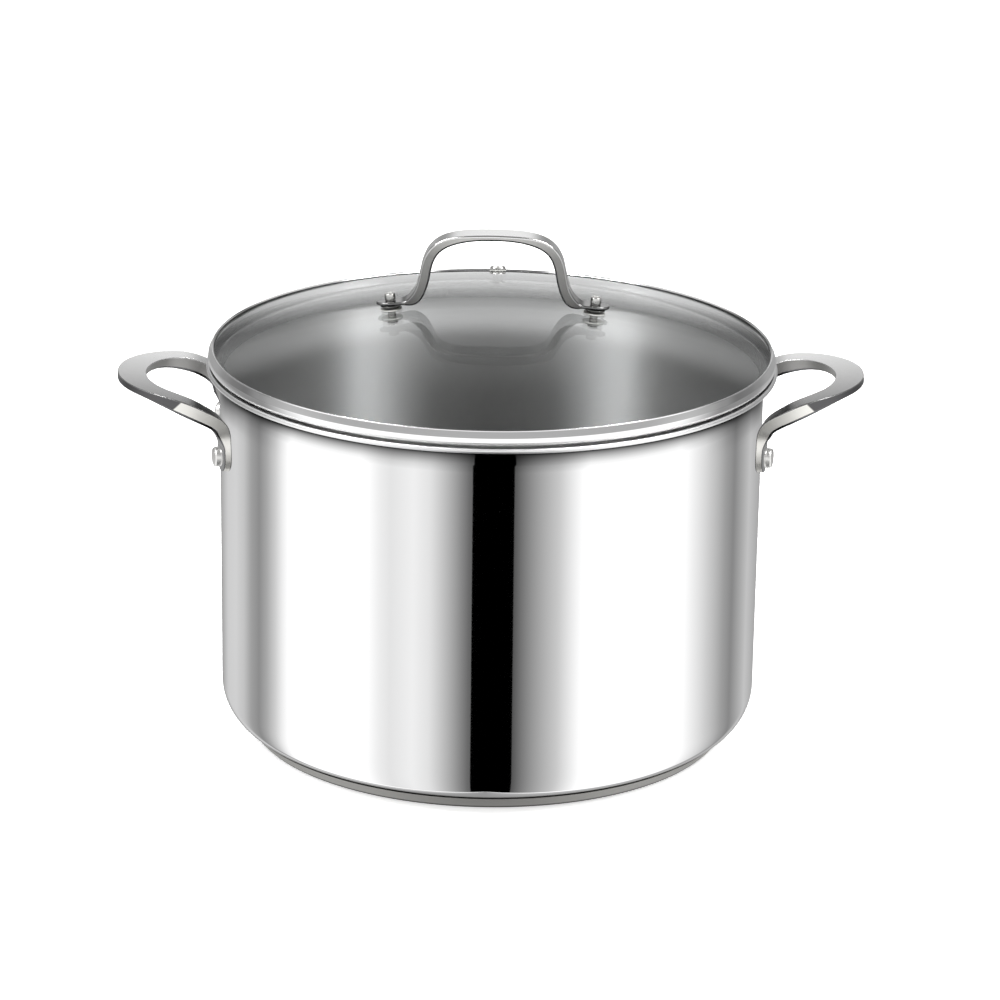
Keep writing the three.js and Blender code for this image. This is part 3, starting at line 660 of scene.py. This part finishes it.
def side_rivets():
    r = RIVET
    inner = -POT["wall"] - 2.5 * GAP
    outer = HANDLE["thick"] + 2 * GAP
    tip = outer + r["head_height"]
    section = rounded(
        [(0, inner - r["inner_height"], 0), (r["inner_head"], inner - r["inner_height"], 0.7),
         (r["inner_head"], inner, 0.3), (r["shank"], inner, 0.2), (r["shank"], outer, 0.2),
         (r["head"] - 0.4, outer, 0.3), (r["head"], outer + 1.2, 0.6), (r["head"] - 0.25, tip, 2.0),
         (2.0, tip + 0.15, 3.0), (0, tip + 0.15, 0)], closed=False, steps=7)
    swing = math.asin(HANDLE["tab_spread"] / (POT["radius"] + HANDLE["thick"] / 2))
    places = {"left_front": math.pi + swing, "left_back": math.pi - swing, "right_front": -swing,
              "right_back": swing}
    for word, azimuth in places.items():
        made = lathe(f"side_rivet_{word}", section, PART_STEPS, to_wall(azimuth))
        dress(made, "pot", "satin_steel", CAST, f"rivet_{word}")
        made.visible_glossy = False


# ---- lid ----


def lid_pane():
    g = GLASS
    centre = g["crown"] - g["dome"]
    spots = np.linspace(0, g["edge"] - 1.5, 40)
    top = [(r, glass_top(r)) for r in spots][::-1]
    bottom = [(r, centre + math.sqrt((g["dome"] - g["thick"]) ** 2 - r**2)) for r in spots]
    r = g["edge"]
    low, high = bottom[-1][1], top[0][1]
    edge = [(r - 0.4, low + 0.2), (r, low + 1.3), (r, high - 1.4), (r - 0.4, high - 0.5)]
    pane = lathe("lid_pane", bottom + edge + top, POT_STEPS)
    dress(pane, "lid", "glass", PANE, "lid_glass")


def look_of_band(face):
    """Which material of the band a face has: 0 outside, 1 ledge, 2 painted shadow on the band's underside and
    the skirt's outside, 3 the skirt's inside.
    """
    b = RIM
    radius = math.hypot(face.center.x, face.center.y)
    outward = (face.normal.x * face.center.x + face.normal.y * face.center.y) / radius
    height = face.center.z / MM
    if height < b["bottom"] + b["shaded"]:
        return 2 if outward > -0.4 else 3
    edge = b["lip"] - 0.2 if height > b["top"] - 2.5 else b["outer"] - 0.6
    return 0 if radius / MM > edge else 1


def lid_band():
    """The rolled band: lip over the glass, bright outside face, ledge under the glass, locating skirt."""
    b = RIM
    face = b["outer"]
    sheet, groove, depth = b["sheet"], b["groove"], b["groove_depth"]
    section = rounded(
        [(b["lip"], b["top"] - 1.0, 0.3), (b["lip"] + 1.2, b["top"], 1.0), (face - 2.1, b["top"] - 0.8, 1.6),
         (face - 0.3, b["top"] - 4.2, 1.4), (face, b["bottom"] + 1.4, 0.8), (face - 0.9, b["bottom"], 0.6),
         (b["skirt"], b["bottom"], 0.5), (b["skirt"], groove + depth, 0.3), (b["skirt"] - depth, groove, 0.3),
         (b["skirt"], groove - depth, 0.3), (b["skirt"], b["skirt_bottom"], 0.4),
         (b["skirt"] - sheet, b["skirt_bottom"], 0.4), (b["skirt"] - sheet - depth, groove, 0.3),
         (b["skirt"] - sheet, b["bottom"] + sheet, 0.5), (face - 0.9, b["bottom"] + sheet, 0.4),
         (face - 1.0, b["top"] - 3.4, 0.6), (b["lip"] + 0.4, b["top"] - 1.9, 0.3)], steps=6)
    band = lathe("lid_band", section, POT_STEPS)
    dress(band, "lid", "mirror_steel", MIRROR, "lid_rim")
    band.data.materials.append(LEDGE)
    band.data.materials.append(SHADED)
    band.data.materials.append(BRIGHT_INSIDE)
    for face in band.data.polygons:
        face.material_index = look_of_band(face)


GASKET_AT = GAP
SEAT_AT = 2 * GAP + GASKET["height"]
LUG_AT = SEAT_AT + SEAT["height"] + 1.5 * GAP
RIVET_AT = LUG_AT + BAR["lug_thick"] + GAP


def lid_bar():
    b = BAR
    lug = glass_top(b["rivet_at"]) + LUG_AT + b["lug_thick"] / 2
    mid = b["top"] - b["top_thick"] / 2
    half = [((-b["lug_end"], lug - 0.8), (-61, lug - 0.1), (-59, lug + 0.1), (-53, lug + 0.5)),
            ((-53, lug + 0.5), (-44.3, lug + 1.3), (-42.6, 267), (-40.2, 276)),
            ((-40.2, 276), (-37.6, 292), (-35.5, mid), (0, mid))]
    runs = [bezier(*run, steps=60) for run in half]
    runs += [[np.array((-p[0], p[1])) for p in reversed(run)] for run in reversed(runs)]
    line = Line(chain(*runs))
    rings = []
    ends = 10
    spots = list(1 - np.cos(np.linspace(0, math.pi / 2, ends, endpoint=False)))
    tip = b["lug_end"] - b["rivet_at"]
    places = [s * tip for s in spots] + list(np.linspace(tip, line.length - tip, 130))
    places += [line.length - s * tip for s in reversed(spots)]
    for s in places:
        at, along = line.at(s), line.along(s)
        out = abs(at[0])
        flat = smooth(*b["flattening"], out)
        leg = smooth(*b["thickening"], out)
        thick = mix(mix(b["top_thick"], b["leg_thick"], leg), b["lug_thick"], flat)
        end = min(0.995, max(0.0, out - b["rivet_at"]) / tip)
        wide = mix(mix(b["top_width"], b["leg_width"], leg), b["lug_width"], flat) * math.sqrt(1 - end**2)
        section = flat_bar(wide / 2, thick / 2, min(b["edge"], thick * 0.4, wide * 0.4))
        ring = [(at[0] - along[1] * level, -across, at[1] + along[0] * level) for across, level in section]
        rings.append(ring)
    rings = np.array(rings)[:, ::-1]
    made = swept("lid_bar", turned_about_z(rings.reshape(-1, 3), LID_TURN).reshape(rings.shape))
    dress(made, "lid", "mirror_steel", GRIP, "lid_handle")
    dress_sides(made, GRIP_EDGE, "inner", PAINTED_DARK_CORNERS)


def on_dome(side):
    """Stands points made along +Z on the dome at a handle rivet, square to the glass."""
    lean = math.asin(BAR["rivet_at"] / GLASS["dome"]) * side
    c, s = math.cos(lean), math.sin(lean)
    foot = np.array((side * BAR["rivet_at"], 0, glass_top(BAR["rivet_at"])))
    square = np.array(((c, 0, -s), (0, 1, 0), (s, 0, c)))
    return lambda points: turned_about_z(points @ square + foot, LID_TURN)


def at_vent(points):
    lean = -math.asin(VENT["at"] / GLASS["dome"])
    c, s = math.cos(lean), math.sin(lean)
    foot = np.array((0, VENT["at"], glass_top(VENT["at"])))
    return turned_about_z(points @ np.array(((1, 0, 0), (0, c, s), (0, -s, c))) + foot, LID_TURN)


def flat_ring(inner, outer, low, high, soft):
    return rounded([(inner, low, soft), (outer, low, soft), (outer, high, soft), (inner, high, soft)])


def lid_fittings():
    bore = BARREL["shank"] + GAP
    low = -GLASS["thick"] - 3 * GAP - GASKET["height"] - WASHER["height"] - GAP
    high = RIVET_AT + BARREL["height"]
    barrel = rounded(
        [(0, low - 0.8, 0), (BARREL["foot"], low - 0.8, 0.5), (BARREL["foot"], low, 0.2),
         (BARREL["shank"], low, 0.2), (BARREL["shank"], RIVET_AT, 0.2), (BARREL["radius"], RIVET_AT, 0.2),
         (BARREL["radius"], high, 0.5), (1.9, high, 0.3), (1.5, high - 2.5, 0.5), (0, high - 2.5, 0)],
        closed=False)
    seat = rounded(
        [(bore, SEAT_AT, 0.2), (SEAT["bottom"], SEAT_AT, 0.4),
         (SEAT["top"], SEAT_AT + 0.6 * SEAT["height"], 0.5), (SEAT["top"], SEAT_AT + SEAT["height"], 0.4),
         (bore, SEAT_AT + SEAT["height"], 0.2)])
    under = -GLASS["thick"] - GAP
    washer_top = under - GASKET["height"] - GAP
    soft_outer = flat_ring(bore, GASKET["radius"], GASKET_AT, GASKET_AT + GASKET["height"], 0.25)
    soft_inner = flat_ring(bore, GASKET["radius"], under - GASKET["height"], under, 0.25)
    washer = flat_ring(bore, WASHER["radius"], washer_top - WASHER["height"], washer_top, 0.15)
    for word, side in (("left", -1), ("right", 1)):
        rows = [
            ("barrel", barrel, "lid_rivet", "mirror_steel", WARM),
            ("soft_ring_outer", soft_outer, "lid_gasket_outer", "silicone", SILICONE),
            ("seat", seat, "lid_spacer", "satin_steel", SEAT_STEEL),
            ("soft_ring_inner", soft_inner, "lid_gasket_inner", "silicone", SILICONE),
            ("washer_inner", washer, "lid_washer_inner", "satin_steel", CAST),
        ]
        for name, section, node, slot, look in rows:
            made = lathe(f"lid_{name}_{word}", section, PART_STEPS, on_dome(side))
            dress(made, "lid", slot, look, f"{node}_{word}")


def steam_vent():
    v = VENT
    low = -GLASS["thick"] - GAP
    sleeve = v["bore"] + v["sleeve"]
    section = rounded(
        [(v["bore"], low - 0.9, 0.3), (sleeve + 1.4, low - 0.9, 0.4), (sleeve + 1.4, low, 0.2),
         (sleeve, low, 0.1), (sleeve, 1.4, 0.1), (v["radius"], 1.4, 0.4),
         (v["radius"] - 0.9, v["height"], 0.9),
         (v["bore"] + 0.6, v["height"], 0.6), (v["bore"], v["height"] - 1.2, 0.4)])
    dress(lathe("vent_eyelet", section, PART_STEPS, at_vent), "lid", "mirror_steel", SLEEVED,
          "steam_vent_eyelet")
    soft = lathe("vent_soft_ring", flat_ring(sleeve + GAP, v["radius"], GAP, 1.1, 0.25), PART_STEPS, at_vent)
    dress(soft, "lid", "silicone", SILICONE, "steam_vent_gasket")


# ---- jar rack ----


def rack_rings():
    for word, radius in RACK["rings"]:
        circle = arc(radius, RACK["deck"], RACK["ring_wire"], 0, 360, 18)[:-1]
        made = lathe(f"rack_wire_ring_{word}", circle, 160, sharp=60)
        dress(made, "rack", "wire_steel", WIRE, f"rack_ring_{word}")


def rack_spokes():
    height = RACK["deck"] - RACK["ring_wire"] - GAP - RACK["wire"]
    last = RACK["rings"][0][1] + 1
    for i in range(8):
        turn = 2 * math.pi * i / 8
        way = np.array((math.cos(turn), math.sin(turn), 0))
        line = [way * r + (0, 0, height) for r in np.linspace(RACK["spoke_from"], last, 14)]
        dress(wire(f"rack_wire_spoke_{i + 1}", line, (0, 0, 1), RACK["wire"]), "rack", "wire_steel", WIRE,
              f"rack_spoke_{i + 1}")


def rack_feet():
    top = RACK["deck"] - RACK["ring_wire"] - GAP
    low = RACK["floor"] + GAP + RACK["wire"]
    half, bend = RACK["foot_half"], RACK["foot_bend"]
    x = RACK["rings"][1][1] - 0.5
    for i in range(RACK["feet"]):
        line = chain(
            bezier((x, -half, top), (x, -half, low + bend), steps=4),
            bezier((x, -half, low + bend), (x, -half, low), (x, bend - half, low), steps=10),
            bezier((x, bend - half, low), (x, half - bend, low), steps=6),
            bezier((x, half - bend, low), (x, half, low), (x, half, low + bend), steps=10),
            bezier((x, half, low + bend), (x, half, top), steps=4))
        turn = 2 * math.pi * (i + 0.25) / RACK["feet"]
        normal = (math.cos(turn), math.sin(turn), 0)
        made = wire(f"rack_wire_foot_{i + 1}", turned_about_z(line, turn), normal, RACK["wire"])
        dress(made, "rack", "wire_steel", WIRE, f"rack_foot_{i + 1}")


HINGE_X = math.sqrt(RACK["rings"][0][1] ** 2 - RACK["eye_spread"] ** 2)
HINGE_Z = RACK["deck"] + RACK["ring_wire"] + GAP + RACK["eye_bore"] + 2 * RACK["eye_wire"]


def rack_eyes():
    circle = arc(RACK["eye_bore"] + RACK["eye_wire"], 0, RACK["eye_wire"], 0, 360, 14)[:-1]
    for word, side in (("left", -1), ("right", 1)):
        for end_word, end in (("front", -1), ("back", 1)):
            def place(points, side=side, end=end):
                stood = np.stack([points[:, 0], -points[:, 2], points[:, 1]], 1)
                return stood + (side * HINGE_X, end * RACK["eye_spread"], HINGE_Z)

            made = lathe(f"rack_wire_eye_{word}_{end_word}", circle, 40, place, sharp=60)
            dress(made, "rack", "wire_steel", WIRE, f"rack_eye_{word}_{end_word}")


def rack_bails():
    reach, half, spread = RACK["reach"], RACK["half"], RACK["eye_spread"]
    turn, corner, past = 6, 24, 7
    run = chain(
        bezier((0, spread + past, 0), (0, half + turn, 0), steps=5),
        bezier((0, half + turn, 0), (0, half, 0), (-turn, half, 0), steps=10),
        bezier((-turn, half, 0), (corner - reach, half, 0), steps=12),
        bezier((corner - reach, half, 0), (-reach, half, 0), (-reach, half - corner, 0), steps=14),
        bezier((-reach, half - corner, 0), (-reach, 0, 0), steps=4))
    other = run[::-1] * (1, -1, 1)
    line = chain(list(run), list(other))
    droop = math.asin(RACK["droop"] / reach)
    c, s = math.cos(droop), math.sin(droop)
    down = np.array(((c, 0, s), (0, 1, 0), (-s, 0, c)))
    for word, angle in (("right", 0.0), ("left", math.pi)):
        laid = turned_about_z(line @ down + (HINGE_X, 0, HINGE_Z), angle)
        normal = turned_about_z(np.array([(0, 0, 1.0)]) @ down, angle)[0]
        made = wire(f"rack_bail_{word}", laid, normal, RACK["wire"])
        dress(made, f"rack_handle_{word}", "wire_steel", WIRE, f"rack_handle_{word}")


pot_shell()
base_band()
side_handle("right", False)
side_handle("left", True)
side_rivets()
lid_pane()
lid_band()
lid_bar()
lid_fittings()
steam_vent()
rack_rings()
rack_spokes()
rack_feet()
rack_eyes()
rack_bails()

# ---- studio ----

# What the upright wall mirrors: brightness by the angle round from the camera, in degrees.
CARDS = [(-180, 0.30), (-168, 0.36), (-150, 0.66), (-138, 0.68), (-129, 0.57), (-122, 0.36), (-115, 0.27),
         (-109, 0.40), (-103, 0.62), (-98, 0.89), (-92, 1.15), (-56, 1.15), (-47, 0.86), (-42, 0.78),
         (-32, 0.88), (-25, 0.77), (-19, 0.53), (-12, 0.26), (-8, 0.13), (0, 0.06), (10, 0.08), (19, 0.32),
         (29, 0.58), (42, 1.15), (87, 1.15), (96, 0.89), (107, 0.61), (119, 0.35), (127, 0.25), (145, 0.58),
         (180, 0.30)]
# A black flag hangs in the middle of them: half the angle to its middle, and half its half-width.
FLAG = dict(middle=math.radians(0.7), half=math.radians(4.34))
# Brightness by height (0 straight down, 0.5 the horizon, 1 straight up) on the camera's side and behind.
FRONT = [(0.0, 0.7), (0.40, 0.85), (0.50, 1.0), (0.60, 1.0), (0.66, 0.55), (0.74, 0.36), (0.84, 0.36),
         (1.0, 0.14)]
BACK = [(0.0, 0.7), (0.38, 0.66), (0.45, 0.74), (0.50, 0.82), (0.54, 0.66), (0.57, 0.50), (0.60, 0.44),
        (0.63, 0.72), (0.655, 0.94), (0.68, 1.0), (0.74, 0.38), (0.86, 0.12), (1.0, 0.16)]
# How much of that is left by the angle round from the camera: less to the sides than right behind.
BACK_ROUND = [(0.0, 1.0), (0.45, 0.32), (0.74, 0.32), (0.90, 0.42), (0.945, 0.58), (0.97, 1.0), (1.0, 1.0)]
# Overhead to the two sides there is a pale sky: its share by the angle round, then by height.
SKY_ROUND = [(0.0, 0.0), (0.40, 0.0), (0.52, 1.0), (0.86, 1.0), (0.95, 0.0), (1.0, 0.0)]
SKY_UP = [(0.0, 0.0), (0.74, 0.0), (0.80, 1.0), (0.94, 1.0), (1.0, 0.0)]
SKY_LEVEL = 0.55
# Two tall soft boxes ahead to the left and right: their share by the angle round, then by height.
BOX_ROUND = [(0.0, 0.0), (0.350, 0.0), (0.388, 1.0), (0.414, 1.0), (0.452, 0.0), (1.0, 0.0)]
BOX_UP = [(0.0, 0.0), (0.80, 0.0), (0.84, 1.0), (0.96, 1.0), (0.99, 0.0), (1.0, 0.0)]
BOX_LEVEL = 28.0
# The share of the cards by height. What they leave is the rest of the studio.
CARDS_UP = [(0.0, 1.0), (0.365, 1.0), (0.40, 0.0), (1.0, 0.0)]
# Right behind, between these shares of the half turn, the cards go over from their fan to the plain angle.
BEHIND = (0.80, 0.92)
# The cards lean a little: the heights of the way down to them (z of a unit vector) and half the turn between.
LEAN = dict(high=-0.312, low=-0.384, turn=math.radians(0.30))
WORLD_STRENGTH = 1.3
MIRRORED = 0.9


def world():
    made = bpy.data.worlds.new("studio")
    made.use_nodes = True
    add = nodes_of(made.node_tree)
    way = add("TexCoord").outputs["Generated"]
    turned = add("VectorRotate", {"Vector": way, "Angle": math.radians(VIEW["turn"])}, rotation_type="Z_AXIS")
    parts = add("SeparateXYZ", {"Vector": turned.outputs[0]})
    x, y, z = (parts.outputs[i] for i in range(3))
    height = add("MapRange", {"Value": z, "From Min": -1.0, "From Max": 1.0}).outputs[0]
    toward = add("Math", {0: y, 1: -1.0}, operation="MULTIPLY").outputs[0]

    angle = add("Math", {0: x, 1: toward}, operation="ARCTAN2").outputs[0]
    side = add("Math", {0: angle}, operation="ABSOLUTE").outputs[0]
    side = add("MapRange", {"Value": side, "From Max": math.pi}).outputs[0]

    # Below the horizon the cards fan out from behind, so a round corner mirrors them as straight bands.
    # Right behind, where the fan would fold up to nothing, they go by the plain angle round.
    fan = add("Math", {0: toward, 1: math.cos(math.radians(VIEW["elevation"]))}, operation="ADD").outputs[0]
    fanned = add("Math", {0: x, 1: fan}, operation="ARCTAN2").outputs[0]
    plain = add("Math", {0: angle, 1: 0.5}, operation="MULTIPLY").outputs[0]
    behind = add("MapRange", {"Value": side, "From Min": BEHIND[0], "From Max": BEHIND[1]},
                 interpolation_type="SMOOTHSTEP").outputs[0]
    half_turn = add("Mix", {0: behind, 2: fanned, 3: plain}, data_type="FLOAT").outputs[0]
    lean = add("MapRange", {"Value": z, "From Min": LEAN["high"], "From Max": LEAN["low"],
                            "To Max": LEAN["turn"]}).outputs[0]
    leant = add("Math", {0: half_turn, 1: lean}, operation="SUBTRACT").outputs[0]
    round_way = add("MapRange", {"Value": leant, "From Min": -math.pi / 2, "From Max": math.pi / 2})
    full = WORLD_STRENGTH * MIRRORED
    cards = ramp(add, round_way.outputs[0], [((a + 180) / 360, level / full) for a, level in CARDS])
    flag = add("Math", {0: leant, 1: FLAG["middle"], 2: FLAG["half"]}, operation="COMPARE").outputs[0]
    cards = add("Mix", {0: flag, 6: cards, 7: (0, 0, 0, 1)}, data_type="RGBA").outputs[2]

    front = ramp(add, height, FRONT, "EASE")
    back = ramp(add, height, BACK, "EASE")
    facing = add("MapRange", {"Value": toward, "From Min": -0.25, "From Max": 0.25},
                 interpolation_type="SMOOTHSTEP").outputs[0]
    back = add("Mix", {0: 1.0, 6: back, 7: ramp(add, side, BACK_ROUND)}, data_type="RGBA",
               blend_type="MULTIPLY").outputs[2]
    above = add("Mix", {0: facing, 6: back, 7: front}, data_type="RGBA").outputs[2]

    for stops_round, stops_up, level in ((SKY_ROUND, SKY_UP, SKY_LEVEL), (BOX_ROUND, BOX_UP, BOX_LEVEL)):
        lit = add("Math", {0: ramp(add, side, stops_round), 1: ramp(add, height, stops_up)},
                  operation="MULTIPLY").outputs[0]
        above = add("Mix", {0: lit, 6: above, 7: (level, level, level, 1)}, data_type="RGBA").outputs[2]

    colour = add("Mix", {0: ramp(add, height, CARDS_UP), 6: above, 7: cards}, data_type="RGBA").outputs[2]
    shine = add("Background", {"Color": colour, "Strength": WORLD_STRENGTH})
    add("OutputWorld", {"Surface": shine.outputs[0]})
    bpy.context.scene.world = made


def floor():
    def build(add):
        shade = ramp(add, noise(add, 1.5), [(0.3, 0.88), (0.7, 0.90)])
        return add("BsdfPrincipled", {"Base Color": shade, "Roughness": 0.9, "Emission Color": (1, 1, 1, 1),
                                      "Emission Strength": 0.55}).outputs[0]

    half = 30000
    made = mesh_object("floor", [(-half, -half, 0), (half, -half, 0), (half, half, 0), (-half, half, 0)],
                       [(0, 1, 2, 3)])
    made.data.materials.append(material("pale_floor", build))
    made.visible_glossy = False
    made.location.z = -0.0002


def lamp():
    made = bpy.data.objects.new("overhead", bpy.data.lights.new("overhead", "AREA"))
    made.data.shape = "DISK"
    made.data.size = 2.2
    made.data.energy = 60
    made.location = (0.2, -0.4, 2.6)
    made.visible_glossy = False
    bpy.context.scene.collection.objects.link(made)


world()
floor()
lamp()
bpy.context.scene.view_settings.view_transform = "Standard"
